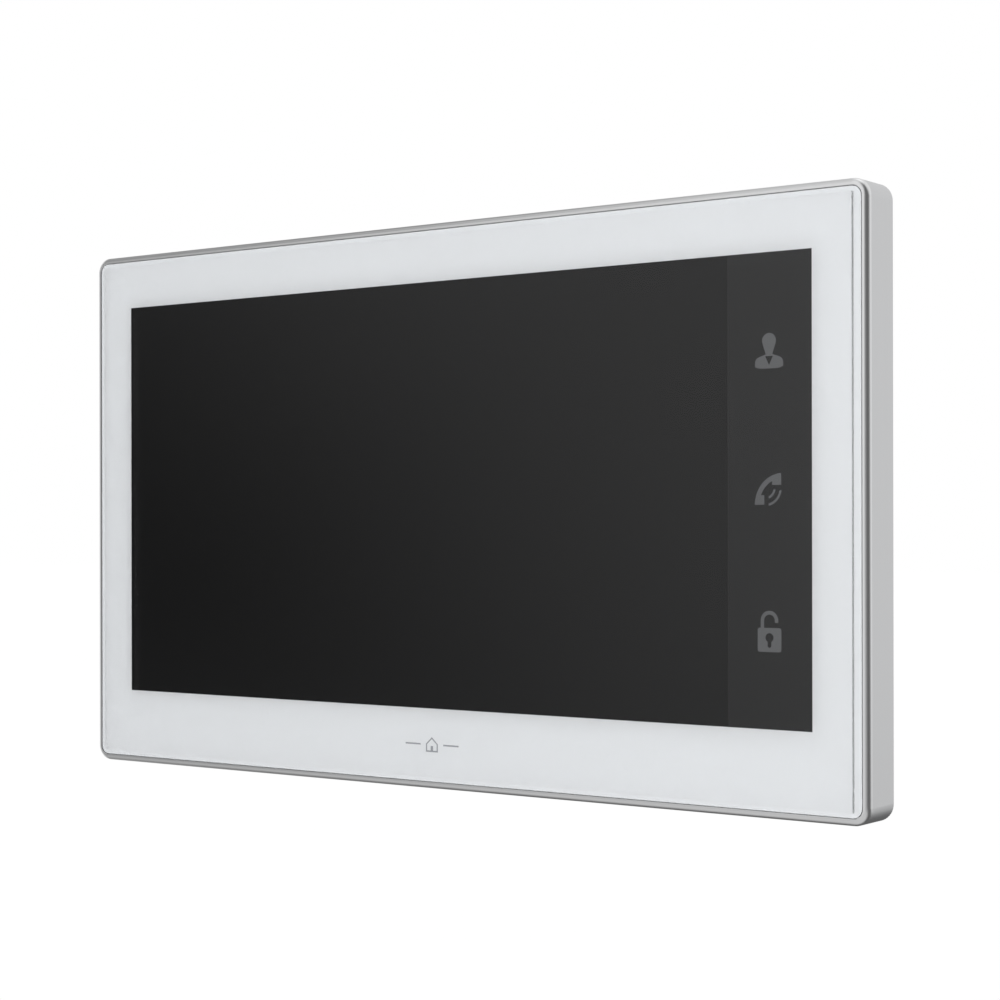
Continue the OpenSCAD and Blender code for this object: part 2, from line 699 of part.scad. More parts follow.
module rear_cover() color([0.93, 0.93, 0.92]) stand() difference() {
    union() {
        difference() {
            union() {
                slab(frame_w - 2 * plate_inset, frame_h - 2 * plate_inset, frame_r, plate_z, plate_t);
                slab(back_box_w, back_box_h, back_box_r, pad_t, plate_z - pad_t);
                // spigot that locates the cover inside the frame
                difference() {
                    slab(inner_w - 0.4, inner_h - 0.4, inner_r, plate_z, plate_t + 1.5);
                    slab(inner_w - 3, inner_h - 3, inner_r, back_z, 3);
                    for (p = CASE_POSTS) translate([p[0], p[1], back_z]) cylinder(h = 3, r = post_r + 1.2);
                    block(-inner_w / 2, (board_bottom + board_top_edge) / 2, back_z, [6, 100, 3]);
                    block(mic_x, -inner_h / 2, back_z, [8, 6, 3]);
                }
            }
            slab(back_box_w - 2 * cover_wall, back_box_h - 2 * cover_wall, back_box_r - cover_wall,
                cover_floor_z, back_z);
        }
        // raised floor of the pocket that takes the bracket
        box_between([-pocket_w / 2 - cover_wall, pocket_bottom - cover_wall, pad_t],
            [pocket_w / 2 + cover_wall, pocket_top + cover_wall, pocket_z + pocket_floor]);
        for (p = BOARD_POSTS)
            translate([p[0], p[1], pad_t]) cylinder(h = board_z - pad_t, r = board_post_r);
        translate([board_post_low[0], board_post_low[1], pocket_z])
            cylinder(h = board_z - pocket_z, r = board_post_r);
        for (p = CASE_POSTS)
            translate([p[0], p[1], plate_z]) cylinder(h = 2 * plate_t, r = post_r);
    }
    box_between([-pocket_w / 2, pocket_bottom, -1], [pocket_w / 2, pocket_top, pocket_z]);
    hook_slots(pocket_z - 1, pocket_floor + 2);
    box_between([-bay_w / 2, bay_bottom, pocket_z - 1], [bay_w / 2, bay_top, pocket_z + pocket_floor + 1]);
    vents();
    for (i = [-3:3]) translate([speaker_x + i * grille_pitch, speaker_y, 0])
        slab(2, speaker_h - 7, 0.95, plate_z - 1, plate_t + 2);
    for (p = BOARD_SCREWS) translate([p[0], p[1], board_z - 5]) cylinder(h = 6, r = board_hole_r);
    for (p = CASE_POSTS) translate([p[0], p[1], plate_z]) {
        translate([0, 0, -1]) cylinder(h = 6, r = screw_r + screw_clear);
        cylinder(h = head_t, r1 = head_r + screw_clear, r2 = screw_r + screw_clear);
    }
}

module case_screws() color([0.6, 0.6, 0.62]) stand() for (p = CASE_POSTS)
    translate([p[0], p[1], plate_z]) difference() {
        union() {
            cylinder(h = head_t, r1 = head_r, r2 = screw_r);
            cylinder(h = screw_len, r = screw_r);
        }
        for (turn = [0, 90]) rotate([0, 0, turn]) block(0, 0, -1, [2.8, 0.6, 1.8]);
    }

module board_screws() color([0.7, 0.7, 0.72]) stand() for (p = BOARD_SCREWS)
    translate([p[0], p[1], board_top]) difference() {
        union() {
            cylinder(h = 1.3, r = 2.2);
            translate([0, 0, -board_t - 4]) cylinder(h = board_t + 4.5, r = board_screw_r);
        }
        for (turn = [0, 90]) rotate([0, 0, turn]) block(0, 0, 0.7, [2.4, 0.5, 1]);
    }

module rear_pads() color([0.12, 0.12, 0.12]) stand()
    for (x = [-pad_x, pad_x], y = [-pad_y, pad_y]) translate([x, y, 0]) cylinder(h = pad_t, r = pad_r);

module wall_bracket() color([0.75, 0.76, 0.77]) stand() {
    difference() {
        slab(bracket_w, bracket_h, 3, 0, bracket_t);
        translate([0, -1, 0]) slab(cable_w, cable_h, 2, -1, bracket_t + 2);
        for (x = [-1, 1], y = [-1, 1])
            translate([x * wall_screw_x / 2, y * wall_screw_y / 2, -1])
                cylinder(h = bracket_t + 2, r = wall_screw_r);
        for (x = [-1, 1]) translate([x * box_screw_x / 2, 0, -1]) {
            block(0, 0, 0, [box_slot - 2 * wall_screw_r, 2 * wall_screw_r, bracket_t + 2]);
            for (end = [-1, 1]) translate([end * (box_slot / 2 - wall_screw_r), 0, 0])
                cylinder(h = bracket_t + 2, r = wall_screw_r);
        }
        // openings that the hooks are bent out of
        for (h = HOOKS) box_between([h[0] - hook_w / 2, h[1], -1],
            [h[0] + hook_w / 2, h[1] + hook_tip + bracket_t, bracket_t + 1]);
    }
    for (h = HOOKS) {
        box_between([h[0] - hook_w / 2, h[1] - bracket_t, 0],
            [h[0] + hook_w / 2, h[1], hook_reach + bracket_t]);
        box_between([h[0] - hook_w / 2, h[1] - bracket_t, hook_reach],
            [h[0] + hook_w / 2, h[1] + hook_tip, hook_reach + bracket_t]);
    }
}

front_frame();
front_glass();
border_print();
strip_print();
touch_icons();
front_mark();
glass_tape();
lcd_gasket();
lcd_cell();
lcd_light_guide();
lcd_tray();
lcd_straps();
strap_screws();
touch_diffuser();
touch_board();
touch_leds();
touch_chip();
touch_ribbon();
lcd_ribbon();
ribbon_sockets();
main_board();
board_chips();
shield_can();
processor();
capacitors();
coils();
door_connectors();
power_terminal();
terminal_screws();
card_socket();
memory_card();
switch_body();
switch_slider();
microphone();
mic_boot();
mic_leads();
speaker_gasket();
speaker_basket();
speaker_cone();
speaker_magnet();
speaker_leads();
rear_cover();
case_screws();
board_screws();
rear_pads();
wall_bracket();
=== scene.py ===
import math

import bmesh
import bpy
from mathutils import Matrix, Vector


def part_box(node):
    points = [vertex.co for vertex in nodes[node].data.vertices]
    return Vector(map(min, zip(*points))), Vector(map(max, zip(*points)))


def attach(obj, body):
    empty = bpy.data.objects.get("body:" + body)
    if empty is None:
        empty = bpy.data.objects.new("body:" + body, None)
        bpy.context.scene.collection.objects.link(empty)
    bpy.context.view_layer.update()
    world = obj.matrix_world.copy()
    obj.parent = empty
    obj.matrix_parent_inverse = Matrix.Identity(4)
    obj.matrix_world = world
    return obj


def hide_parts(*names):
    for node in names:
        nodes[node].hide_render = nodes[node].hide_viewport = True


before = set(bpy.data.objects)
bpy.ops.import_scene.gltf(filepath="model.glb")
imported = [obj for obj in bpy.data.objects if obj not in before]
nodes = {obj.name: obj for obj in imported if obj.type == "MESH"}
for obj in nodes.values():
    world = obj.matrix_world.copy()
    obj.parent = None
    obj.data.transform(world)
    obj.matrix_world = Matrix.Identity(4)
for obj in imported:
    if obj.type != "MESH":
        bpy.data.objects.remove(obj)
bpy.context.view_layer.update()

MM = 0.001
JOIN = 0.001 * MM  # corners closer than this are one corner
BODY = "monitor"

# Places that everything else is measured from
frame_low, frame_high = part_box("front_frame")
front_y = frame_low.y
glass_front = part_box("front_glass")[0].y
cover_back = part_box("rear_cover")[1].y
edge_radius = 1.75 * MM  # the frame's rounded front edge


# ---------------------------------------------------------------- shader maths


class Value:
    """A socket that adds Math nodes when it is used in an expression."""

    def __init__(self, finish, socket):
        self.finish, self.socket = finish, socket

    def _math(self, operation, *values):
        return self.finish.node("ShaderNodeMath", {"operation": operation}, dict(enumerate(values)))

    def __add__(self, other):
        return self._math("ADD", self, other)

    def __sub__(self, other):
        return self._math("SUBTRACT", self, other)

    def __rsub__(self, other):
        return self._math("SUBTRACT", other, self)

    def __mul__(self, other):
        return self._math("MULTIPLY", self, other)

    __radd__, __rmul__ = __add__, __mul__

    def over(self, edge):
        return self._math("GREATER_THAN", self, edge)

    def under(self, edge):
        return self._math("LESS_THAN", self, edge)

    def size(self):
        return self._math("ABSOLUTE", self)

    def most(self, other):
        return self._math("MAXIMUM", self, other)

    def ramp(self, low, high, to_low=0.0, to_high=1.0):
        """Eases from one value to another as this one goes from low to high."""
        return self.finish.node("ShaderNodeMapRange", {"interpolation_type": "SMOOTHSTEP"},
                                {"Value": self, "From Min": low, "From Max": high,
                                 "To Min": to_low, "To Max": to_high})


OBJECT = 3  # the Object output of Texture Coordinate


class Finish:
    """A material, or the world, and the nodes it is made of."""

    def __init__(self, name, owner=None):
        self.owner = owner or bpy.data.materials.new(name)
        self.owner.use_nodes = True
        self.tree = self.owner.node_tree
        self.tree.nodes.clear()

    def node(self, kind, settings=None, inputs=None, output=0):
        made = self.tree.nodes.new(kind)
        for key, setting in (settings or {}).items():
            setattr(made, key, setting)
        for key, value in (inputs or {}).items():
            self.feed(made.inputs[key], value)
        return Value(self, made.outputs[output])

    def feed(self, socket, value):
        if isinstance(value, Value):
            self.tree.links.new(value.socket, socket)
        elif value is not None:
            if isinstance(value, (tuple, list)) and len(value) == 3 and socket.type == "RGBA":
                value = (*value, 1)
            socket.default_value = value

    def place(self, scale=(1, 1, 1), turn=(0, 0, 0)):
        """Object coordinates in metres, scaled and turned."""
        spot = self.node("ShaderNodeTexCoord", output=OBJECT)
        return self.node("ShaderNodeMapping", {}, {"Vector": spot, "Scale": scale, "Rotation": turn})

    def axes(self):
        spot = self.node("ShaderNodeTexCoord", output=OBJECT)
        split = self.node("ShaderNodeSeparateXYZ", {}, {0: spot})
        made = split.socket.node
        return [Value(self, made.outputs[i]) for i in range(3)]

    def noise(self, scale, detail=2.0, roughness=0.5, stretch=(1, 1, 1), turn=(0, 0, 0)):
        return self.node("ShaderNodeTexNoise", {}, {"Vector": self.place(stretch, turn), "Scale": scale,
                                                    "Detail": detail, "Roughness": roughness})

    def cells(self, scale):
        return self.node("ShaderNodeTexVoronoi", {}, {"Vector": self.place(), "Scale": scale})

    def blend(self, amount, one, two):
        """A colour between two colours."""
        made = self.tree.nodes.new("ShaderNodeMix")
        made.data_type = "RGBA"
        self.feed(made.inputs["Factor"], amount)
        self.feed(made.inputs[6], one)
        self.feed(made.inputs[7], two)
        return Value(self, made.outputs[2])

    def bump(self, height, distance, strength=1.0):
        return self.node("ShaderNodeBump", {}, {"Height": height, "Distance": distance,
                                                "Strength": strength})

    def surface(self, **sockets):
        made = self.tree.nodes.new("ShaderNodeBsdfPrincipled")
        for key, value in sockets.items():
            self.feed(made.inputs[key.replace("_", " ")], value)
        return Value(self, made.outputs[0])

    def done(self, shader, kind="ShaderNodeOutputMaterial"):
        made = self.tree.nodes.new(kind)
        self.feed(made.inputs["Surface"], shader)
        return self.owner


# ------------------------------------------------------------------- finishes


def silver_frame():
    """Satin metal wall with fine drawn marks, and a polished lip and front edge."""
    f = Finish("silver_frame")
    x, y = f.axes()[:2]
    polished = y.ramp(front_y + edge_radius * 1.02, front_y + edge_radius * 0.9)
    grain = f.noise(900, 3, 0.6)
    drawn_up = f.noise(60, 4, 0.65, (30, 60, 1.2))
    drawn_across = f.noise(60, 4, 0.65, (1.2, 60, 30))
    on_side = x.size().ramp(frame_high.x - 1.2 * MM, frame_high.x - 0.9 * MM)
    drawn = on_side * drawn_up + (1 - on_side) * drawn_across
    cloud = f.noise(18, 2, 0.5)
    rough = 0.40 + 0.12 * (drawn - 0.5) + 0.06 * (cloud - 0.5)
    tone = f.blend(drawn * 0.5 + cloud * 0.3, (0.66, 0.665, 0.675), (0.76, 0.765, 0.77))
    colour = f.blend(polished, tone, (0.84, 0.845, 0.85))
    relief = f.bump(grain * 0.6 + drawn * 0.4, 0.012 * MM, 0.35)
    shader = f.surface(Base_Color=colour, Metallic=1.0, Normal=relief,
                       Roughness=rough * (1 - polished) + polished * (0.26 + 0.05 * cloud))
    return f.done(shader)


def clear_glass():
    """Clear sheet: reflects at its front face, and lets the printing behind it show."""
    f = Finish("clear_glass")
    front = f.axes()[1].under(glass_front + 0.05 * MM)
    smear = f.noise(26, 3, 0.55, (1, 1, 2.2))
    gloss = f.node("ShaderNodeBsdfGlossy", {}, {"Color": (1, 1, 1),
                                                "Roughness": 0.02 + 0.03 * smear.ramp(0.55, 0.9)})
    through = f.node("ShaderNodeBsdfTransparent", {}, {"Color": (1, 1, 1)})
    share = f.node("ShaderNodeFresnel", {}, {"IOR": 1.5}) * front
    return f.done(f.node("ShaderNodeMixShader", {}, {0: share, 1: through, 2: gloss}))


def print_ink(name, colour, other, rough=0.5, specular=0.25):
    """Ink on the back of the glass: almost even, with the faint mottle of screen printing."""
    f = Finish(name)
    mottle = f.noise(700, 2, 0.5)
    cloud = f.noise(9, 2, 0.5)
    tone = f.blend(mottle * 0.35 + cloud * 0.65, colour, other)
    return f.done(f.surface(Base_Color=tone, Roughness=rough + 0.06 * mottle, Specular_IOR_Level=specular))


def dark_display():
    """Unlit display: a polariser over black glass, with its grid of pixels just showing."""
    f = Finish("dark_display")
    cloud = f.noise(6, 2, 0.5)
    tone = f.blend(cloud, (0.0040, 0.0042, 0.0044), (0.0052, 0.0053, 0.0056))
    pixel = f.node("ShaderNodeTexChecker", {}, {"Vector": f.place(), "Color1": (1, 1, 1), "Color2": (0, 0, 0),
                                                "Scale": 5747.0}, output=1)
    tone = f.blend(pixel * 0.1, tone, (0.008, 0.008, 0.009))
    return f.done(f.surface(Base_Color=tone, Roughness=0.22 + 0.04 * cloud, Specular_IOR_Level=0.06))


def moulded(name, colour, other, rough=0.5, pit=0.02, scale=1500, specular=0.5):
    """Moulded plastic with a spark-eroded texture and slight flow clouds."""
    f = Finish(name)
    pits = f.noise(scale, 3, 0.65)
    cells = f.cells(scale * 0.8)
    cloud = f.noise(14, 3, 0.55)
    tone = f.blend(cloud * 0.7 + pits * 0.3, colour, other)
    relief = f.bump(pits * 0.5 + cells * 0.5, pit * MM, 0.5)
    return f.done(f.surface(Base_Color=tone, Roughness=rough + 0.14 * (pits - 0.5), Normal=relief,
                            Specular_IOR_Level=specular))


def rubbery(name, colour, other, scale=900, pit=0.05):
    f = Finish(name)
    pores = f.cells(scale)
    dust = f.noise(120, 4, 0.6)
    tone = f.blend(dust, colour, other)
    return f.done(f.surface(Base_Color=tone, Roughness=0.75 + 0.15 * (dust - 0.5),
                            Normal=f.bump(pores, pit * MM, 0.6), Specular_IOR_Level=0.3))


def zinc_sheet():
    """Galvanised steel: large zinc crystals, each with its own shade, under fine rolling marks."""
    f = Finish("zinc_sheet")
    spangle = f.node("ShaderNodeTexVoronoi", {}, {"Vector": f.place((1, 1, 1.3)), "Scale": 130.0}, output=1)
    shade = f.node("ShaderNodeSeparateXYZ", {}, {0: spangle})
    rolled = f.noise(90, 4, 0.6, (1, 40, 40))
    tone = f.blend(shade * 0.6 + rolled * 0.4, (0.50, 0.52, 0.55), (0.68, 0.70, 0.72))
    rough = 0.30 + 0.22 * shade + 0.08 * rolled
    return f.done(f.surface(Base_Color=tone, Metallic=1.0, Roughness=rough,
                            Normal=f.bump(rolled, 0.02 * MM, 0.35)))


def drawn_metal(name, colour, other, rough=0.3, stretch=(1, 30, 30), pit=0.012):
    f = Finish(name)
    marks = f.noise(140, 4, 0.6, stretch)
    cloud = f.noise(60, 3, 0.5)
    tone = f.blend(marks * 0.6 + cloud * 0.4, colour, other)
    return f.done(f.surface(Base_Color=tone, Metallic=1.0, Roughness=rough + 0.18 * (marks - 0.5),
                            Normal=f.bump(marks, pit * MM, 0.4)))


def circuit_board():
    """Green solder mask over copper tracks, with plated holes."""
    f = Finish("circuit_board")
    tracks = []
    for turn, gap in ((0, 2.1), (math.pi / 2, 3.3), (math.pi / 4, 7.0)):
        bands = f.node("ShaderNodeTexWave", {"wave_type": "BANDS", "bands_direction": "X"},
                       {"Vector": f.place((1, 1, 1), (0, turn, 0)), "Scale": 1000 / gap / 20, "Distortion": 0.0})
        patch = f.noise(55, 1, 0.4, (1, 1, 1), (0, turn, 0)).over(0.52)
        tracks.append(bands.over(0.82) * patch)
    track = tracks[0].most(tracks[1]).most(tracks[2])
    spots = f.cells(260)
    via = spots.under(0.16)
    ring = spots.under(0.28)
    cloud = f.noise(40, 2, 0.5)
    green = f.blend(track.most(ring), (0.012, 0.11, 0.045), (0.030, 0.20, 0.085))
    green = f.blend(cloud * 0.3, green, (0.010, 0.085, 0.035))
    colour = f.blend(via, green, (0.55, 0.50, 0.38))
    relief = f.bump(track.most(ring) - via * 0.5, 0.03 * MM, 0.8)
    return f.done(f.surface(Base_Color=colour, Metallic=via, Roughness=0.32 + 0.1 * cloud, Normal=relief))


def woven_paper(name, colour, other):
    f = Finish(name)
    fibre = f.noise(500, 5, 0.7, (1, 1, 3))
    return f.done(f.surface(Base_Color=f.blend(fibre, colour, other), Roughness=0.8,
                            Normal=f.bump(fibre, 0.06 * MM, 0.7), Specular_IOR_Level=0.2))


def wire_skin(name, colour, other):
    f = Finish(name)
    cloud = f.noise(300, 3, 0.5, (1, 1, 0.2))
    return f.done(f.surface(Base_Color=f.blend(cloud, colour, other), Roughness=0.35 + 0.1 * cloud,
                            Normal=f.bump(cloud, 0.01 * MM, 0.4)))


def etched_film(name, colour, other, gap):
    """Flat cable: copper lines side by side under a film."""
    f = Finish(name)
    lines = f.node("ShaderNodeTexWave", {"wave_type": "BANDS", "bands_direction": "X"},
                   {"Vector": f.place(), "Scale": 1000 / gap / 20, "Distortion": 0.0})
    tone = f.blend(lines.over(0.5), colour, other)
    return f.done(f.surface(Base_Color=tone, Roughness=0.28 + 0.1 * lines, Normal=f.bump(lines, 0.02 * MM, 0.5)))


GREY = drawn_metal("plain_tin", (0.52, 0.53, 0.55), (0.66, 0.67, 0.69))
SCREW = drawn_metal("nickel_screw", (0.46, 0.46, 0.47), (0.62, 0.62, 0.62), 0.25, (60, 8, 60))
CHIP = moulded("chip_epoxy", (0.018, 0.018, 0.020), (0.030, 0.030, 0.032), 0.5, 0.01, 2500)
FOAM = rubbery("black_foam", (0.012, 0.012, 0.012), (0.022, 0.022, 0.022), 1400, 0.09)
RUBBER = rubbery("black_rubber", (0.016, 0.016, 0.016), (0.032, 0.032, 0.031), 1500, 0.02)
BOARD = circuit_board()
CREAM = moulded("cream_socket", (0.66, 0.62, 0.50), (0.76, 0.72, 0.60), 0.42, 0.01)
CAN = drawn_metal("can_metal", (0.60, 0.61, 0.62), (0.72, 0.73, 0.74), 0.28)
COVER = moulded("cover_plastic", (0.66, 0.665, 0.66), (0.73, 0.73, 0.72), 0.5, 0.035, 1300)

FINISHES = {
    "front_frame": silver_frame(),
    "front_glass": clear_glass(),
    "border_print": print_ink("white_ink", (0.79, 0.805, 0.82), (0.81, 0.825, 0.84)),
    "strip_print": print_ink("smoked_ink", (0.011, 0.0112, 0.0118), (0.014, 0.0142, 0.0148), 0.4, 0.15),
    "touch_icons": print_ink("icon_ink", (0.135, 0.139, 0.145), (0.15, 0.155, 0.16)),
    "front_mark": print_ink("mark_ink", (0.30, 0.31, 0.33), (0.34, 0.35, 0.37)),
    "glass_tape": FOAM,
    "lcd_gasket": FOAM,
    "lcd_cell": dark_display(),
    "lcd_light_guide": moulded("light_guide", (0.80, 0.83, 0.85), (0.86, 0.88, 0.90), 0.2, 0.004),
    "lcd_tray": GREY,
    "lcd_straps": GREY,
    "strap_screws": SCREW,
    "touch_diffuser": moulded("milky_sheet", (0.82, 0.82, 0.80), (0.87, 0.87, 0.85), 0.4, 0.005),
    "touch_board": BOARD,
    "touch_leds": moulded("led_body", (0.80, 0.76, 0.50), (0.88, 0.84, 0.60), 0.3, 0.005),
    "touch_chip": CHIP,
    "touch_ribbon": etched_film("white_ribbon", (0.72, 0.72, 0.70), (0.55, 0.57, 0.60), 1.0),
    "lcd_ribbon": etched_film("amber_ribbon", (0.42, 0.20, 0.03), (0.60, 0.34, 0.08), 1.0),
    "ribbon_sockets": CREAM,
    "main_board": BOARD,
    "board_chips": CHIP,
    "shield_can": CAN,
    "processor": CHIP,
    "capacitors": CAN,
    "coils": moulded("ferrite", (0.035, 0.036, 0.038), (0.06, 0.06, 0.062), 0.6, 0.03, 900),
    "door_connectors": CREAM,
    "power_terminal": moulded("green_terminal", (0.03, 0.22, 0.09), (0.045, 0.28, 0.12), 0.4, 0.01),
    "terminal_screws": SCREW,
    "card_socket": CAN,
    "memory_card": moulded("card_body", (0.014, 0.014, 0.016), (0.022, 0.022, 0.024), 0.4, 0.006, 2500),
    "switch_body": moulded("switch_black", (0.02, 0.02, 0.022), (0.032, 0.032, 0.034), 0.45, 0.01),
    "switch_slider": moulded("knob_white", (0.74, 0.74, 0.73), (0.80, 0.80, 0.79), 0.45, 0.01),
    "microphone": CAN,
    "mic_boot": RUBBER,
    "mic_leads": wire_skin("red_wire", (0.42, 0.02, 0.015), (0.52, 0.04, 0.03)),
    "speaker_gasket": FOAM,
    "speaker_basket": moulded("basket_black", (0.035, 0.035, 0.037), (0.05, 0.05, 0.052), 0.5, 0.02),
    "speaker_cone": woven_paper("paper_cone", (0.018, 0.018, 0.019), (0.04, 0.04, 0.042)),
    "speaker_magnet": drawn_metal("zinc_magnet", (0.40, 0.40, 0.42), (0.55, 0.55, 0.57), 0.35),
    "speaker_leads": wire_skin("black_wire", (0.014, 0.014, 0.014), (0.028, 0.028, 0.028)),
    "rear_cover": COVER,
    "case_screws": SCREW,
    "board_screws": SCREW,
    "rear_pads": RUBBER,
    "wall_bracket": zinc_sheet(),
}
for name, material in FINISHES.items():
    mesh = nodes[name].data
    if mesh.materials:
        for i in range(len(mesh.materials)):
            mesh.materials[i] = material
    else:
        mesh.materials.append(material)


# -------------------------------------------------------------- detail pieces


def made(name, shape, material, slot, body=BODY, instead_of=()):
    """Turns a finished bmesh into a piece that rides on a body."""
    mesh = bpy.data.meshes.new(name)
    shape.to_mesh(mesh)
    shape.free()
    mesh.materials.append(material)
    piece = bpy.data.objects.new(name, mesh)
    bpy.context.scene.collection.objects.link(piece)
    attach(piece, body)
    if instead_of:
        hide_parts(*instead_of)
    return piece


def joined_copy(node):
    """A copy of a CAD node with its loose triangles joined and its flat faces made whole."""
    shape = bmesh.new()
    shape.from_mesh(nodes[node].data)
    bmesh.ops.remove_doubles(shape, verts=shape.verts, dist=JOIN)
    bmesh.ops.dissolve_limit(shape, angle_limit=math.radians(0.3), use_dissolve_boundaries=False,
                             verts=shape.verts, edges=shape.edges)
    return shape


def solids(node):
    """The box of each separate solid of a CAD node, as pairs of corners."""
    shape = bmesh.new()
    shape.from_mesh(nodes[node].data)
    bmesh.ops.remove_doubles(shape, verts=shape.verts, dist=JOIN)
    left, found = set(shape.verts), []
    while left:
        group, fresh = set(), [left.pop()]
        while fresh:
            corner = fresh.pop()
            group.add(corner)
            for edge in corner.link_edges:
                other = edge.other_vert(corner)
                if other in left:
                    left.discard(other)
                    fresh.append(other)
        found.append((Vector([min(v.co[i] for v in group) for i in range(3)]),
                      Vector([max(v.co[i] for v in group) for i in range(3)])))
    shape.free()
    return sorted(found, key=lambda pair: (pair[0].x, pair[0].z))


def softened(name, node, width, material, slot, body=BODY, segments=3, wanted=None):
    """A copy of a CAD node with the sharp outer edges that pass a test rounded off."""
    shape = joined_copy(node)
    sharp = [e for e in shape.edges if len(e.link_faces) == 2 and e.is_convex
             and e.calc_face_angle(0) > math.radians(50) and (wanted is None or wanted(e))]
    bmesh.ops.bevel(shape, geom=sharp, offset=width, segments=segments, profile=0.5, affect="EDGES",
                    material=-1, clamp_overlap=True)
    for face in shape.faces:
        face.smooth = True
    piece = made(name, shape, material, slot, body, (node,))
    piece.data.set_sharp_from_angle(angle=math.radians(35))
    even = piece.modifiers.new("even_shading", "WEIGHTED_NORMAL")
    even.keep_sharp, even.weight = True, 100
    return piece


def on_back_rim(edge):
    """True on the back box's outer outline, where the moulding has a soft edge."""
    back = cover_back - 0.05 * MM
    return all(v.co.y > back and (abs(v.co.x) > 95 * MM or abs(v.co.z) > 55 * MM) for v in edge.verts)


softened("rear_cover_shell", "rear_cover", 0.7 * MM, COVER, "cover_white", wanted=on_back_rim)
softened("hook_bracket", "wall_bracket", 0.2 * MM, FINISHES["wall_bracket"], "bracket_zinc", "bracket", 2)
softened("card_shell", "memory_card", 0.12 * MM, FINISHES["memory_card"], "card_black", "card", 2)
softened("switch_knob", "switch_slider", 0.18 * MM, FINISHES["switch_slider"], "knob_white", "switch", 3)


def rubber_feet():
    """Four moulded feet with a round rim and a shallow ring groove."""
    shape = bmesh.new()
    for low, high in solids("rear_pads"):
        centre, radius = (low + high) / 2, (high.x - low.x) / 2
        section = ((0, low.y), (radius, low.y), (radius, -0.45 * MM), (radius - 0.12 * MM, -0.2 * MM),
                   (radius - 0.35 * MM, -0.05 * MM), (radius - 0.7 * MM, 0), (radius - 1.6 * MM, 0),
                   (radius - 1.8 * MM, -0.3 * MM), (radius - 2.3 * MM, -0.3 * MM), (radius - 2.5 * MM, 0), (0, 0))
        corners = [shape.verts.new((centre.x + r, y, centre.z)) for r, y in section]
        rim = [shape.edges.new(pair) for pair in zip(corners, corners[1:])]
        bmesh.ops.spin(shape, geom=corners + rim, cent=centre, axis=(0, 1, 0), steps=64,
                       angle=math.tau, use_merge=True)
    bmesh.ops.remove_doubles(shape, verts=shape.verts, dist=JOIN)
    bmesh.ops.recalc_face_normals(shape, faces=shape.faces)
    for face in shape.faces:
        face.smooth = True
    made("rubber_feet", shape, RUBBER, "black_rubber", instead_of=("rear_pads",)).data.set_sharp_from_angle(
        angle=math.radians(40))


def connector_pins():
    """Four square tinned pins in each plug socket, with pointed ends."""
    shape = bmesh.new()
    for low, high in solids("door_connectors"):
        centre = (low + high) / 2
        for i in range(4):
            place = Matrix.Translation((centre.x + (i - 1.5) * 2.5 * MM, low.y + 3.7 * MM, centre.z))
            pin = bmesh.ops.create_cube(shape, size=1, matrix=place @ Matrix.Diagonal(
                (0.64 * MM, 5.4 * MM, 0.64 * MM, 1)))["verts"]
            tip = max(v.co.y for v in pin)
            ends = {e for v in pin for e in v.link_edges if all(w.co.y > tip - 0.01 * MM for w in e.verts)}
            bmesh.ops.bevel(shape, geom=list(ends), offset=0.18 * MM, segments=1, profile=0.5,
                            affect="EDGES", material=-1)
    made("connector_pins", shape, drawn_metal("tinned_pin", (0.62, 0.58, 0.46), (0.74, 0.70, 0.58), 0.25,
                                              (30, 3, 30)), "can_metal")


def card_contacts():
    """Gold contacts on the memory card's hidden end."""
    low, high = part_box("memory_card")
    shape = bmesh.new()
    for i in range(8):
        place = Matrix.Translation((high.x - 2.6 * MM, high.y, low.z + (1.3 + 1.1 * i) * MM))
        pad = bmesh.ops.create_cube(shape, size=1, matrix=place @ Matrix.Diagonal(
            (2.9 * MM, 0.04 * MM, 0.75 * MM, 1)))["verts"]
        upright = {e for v in pad for e in v.link_edges if abs(e.verts[0].co.y - e.verts[1].co.y) > 0.01 * MM}
        bmesh.ops.bevel(shape, geom=list(upright), offset=0.15 * MM, segments=2, profile=0.5,
                        affect="EDGES", material=-1)
    made("card_contacts", shape, drawn_metal("gold_contact", (0.80, 0.60, 0.25), (0.90, 0.72, 0.36), 0.22,
                                             (4, 30, 4)), "can_metal", "card")


def glass_rim():
    """The border ink carried round the cover glass's rim: its side and a narrow band just under its face.
    It throws no shadow, so that the print behind it stays even."""
    shape = joined_copy("front_glass")
    bmesh.ops.delete(shape, geom=[f for f in shape.faces if f.normal.y > 0.5], context="FACES")
    front = [f for f in shape.faces if f.normal.y < -0.5]
    bmesh.ops.inset_region(shape, faces=front, thickness=1.3 * MM, use_even_offset=True)
    bmesh.ops.delete(shape, geom=front, context="FACES")
    bmesh.ops.scale(shape, vec=(0.9997, 1, 0.9995), verts=shape.verts)
    band = [v for v in shape.verts if v.co.y < glass_front + 0.01 * MM]
    bmesh.ops.translate(shape, vec=(0, 0.03 * MM, 0), verts=band)
    bmesh.ops.recalc_face_normals(shape, faces=shape.faces)
    bmesh.ops.solidify(shape, geom=shape.faces, thickness=0.04 * MM)
    rim = made("glass_rim", shape, FINISHES["border_print"], "white_print")
    rim.visible_shadow = rim.visible_diffuse = False


rubber_feet()
connector_pins()
card_contacts()
glass_rim()


# ------------------------------------------------------- camera, floor, lights

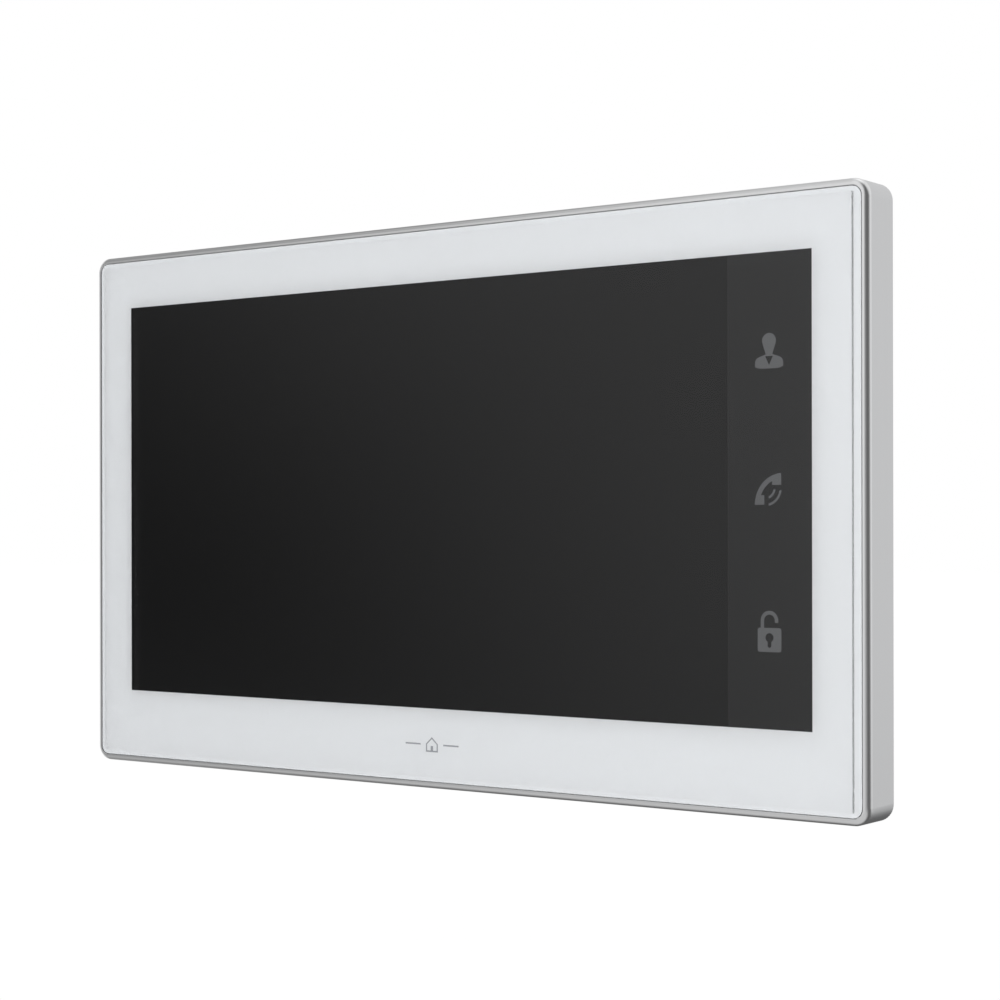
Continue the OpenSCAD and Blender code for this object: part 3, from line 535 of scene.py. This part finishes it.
camera = bpy.data.objects.new("camera", bpy.data.cameras.new("camera"))
bpy.context.scene.collection.objects.link(camera)
camera.data.sensor_width = 36
camera.data.lens = 74.95
camera.data.shift_y = 0.02755
camera.data.clip_start = 0.01
turn, roll = math.radians(35.635), math.radians(-0.0986)
ahead = Vector((-math.sin(turn), math.cos(turn), 0))
level = Vector((math.cos(turn), math.sin(turn), 0))
right = level * math.cos(roll) + Vector((0, 0, 1)) * math.sin(roll)
up = right.cross(ahead)
camera.matrix_world = Matrix.Translation((0.37222, -0.50884, -0.00637)) @ Matrix(
    (right, up, -ahead)).transposed().to_4x4()
bpy.context.scene.camera = camera

floor_mesh = bpy.data.meshes.new("floor")
shape = bmesh.new()
bmesh.ops.create_grid(shape, x_segments=1, y_segments=1, size=12)
shape.to_mesh(floor_mesh)
shape.free()
floor = bpy.data.objects.new("floor", floor_mesh)
floor.location = (0, 0, -0.30)
bpy.context.scene.collection.objects.link(floor)
pale = Finish("pale_floor")
cloud = pale.noise(2, 2, 0.5)
floor_mesh.materials.append(pale.done(pale.node("ShaderNodeEmission", {}, {
    "Color": pale.blend(cloud, (0.99, 0.99, 0.99), (1.0, 1.0, 1.0)), "Strength": 1.01})))
floor.visible_glossy = floor.visible_diffuse = floor.visible_shadow = False

# Surroundings: white where the camera looks, and studio darkness with soft panels for the reflections
world = bpy.data.worlds.new("studio")
bpy.context.scene.world = world
sky = Finish("studio", world)
toward = sky.node("ShaderNodeTexCoord", output=0)


SOFT_EDGE = 30  # degrees over which every panel fades out
ROOM = 0.12     # what the dark studio itself gives back


def panel(bearing, elevation, half_width, strength):
    """A soft round patch of light, in degrees: bearing 0 is straight in front, positive to the viewer's right."""
    around, above = math.radians(bearing), math.radians(elevation)
    aim = (math.sin(around) * math.cos(above), -math.cos(around) * math.cos(above), math.sin(above))
    dot = sky.node("ShaderNodeVectorMath", {"operation": "DOT_PRODUCT"}, {0: toward, 1: aim}, output=1)
    return dot.ramp(math.cos(math.radians(half_width + SOFT_EDGE)), math.cos(math.radians(half_width))) * strength


main_box = panel(-15, 25, 10, 0.75)
overhead = panel(-45, 75, 10, 0.6)
lit_wall = panel(150, 35, 40, 0.7)
left_reflector = panel(-100, 0, 20, 0.6)
pale_table = panel(0, -45, 30, 0.5)
light = main_box + overhead + lit_wall + left_reflector + pale_table + ROOM
seen = sky.node("ShaderNodeLightPath", output=0)
strength = light * (1 - seen) + seen * 1.0
backdrop = sky.node("ShaderNodeBackground", {}, {"Color": (1, 1, 1), "Strength": strength})
sky.done(backdrop, "ShaderNodeOutputWorld")


def softbox(name, place, size, power):
    """A lamp aimed at the object that lights it without showing in its reflections."""
    lamp = bpy.data.lights.new(name, "AREA")
    lamp.shape, lamp.size, lamp.energy = "SQUARE", size, power
    holder = bpy.data.objects.new(name, lamp)
    bpy.context.scene.collection.objects.link(holder)
    way = -Vector(place)
    holder.matrix_world = Matrix.Translation(place) @ way.to_track_quat("-Z", "Y").to_matrix().to_4x4()
    holder.visible_glossy = holder.visible_camera = False


softbox("front_panel", (0.4, -1.7, 0.15), 1.2, 14)
softbox("side_panel", (1.6, 0.3, 0.4), 1.0, 4)
softbox("rear_panel", (-0.6, 1.8, 0.7), 1.2, 10)

bpy.context.scene.view_settings.view_transform = "Standard"
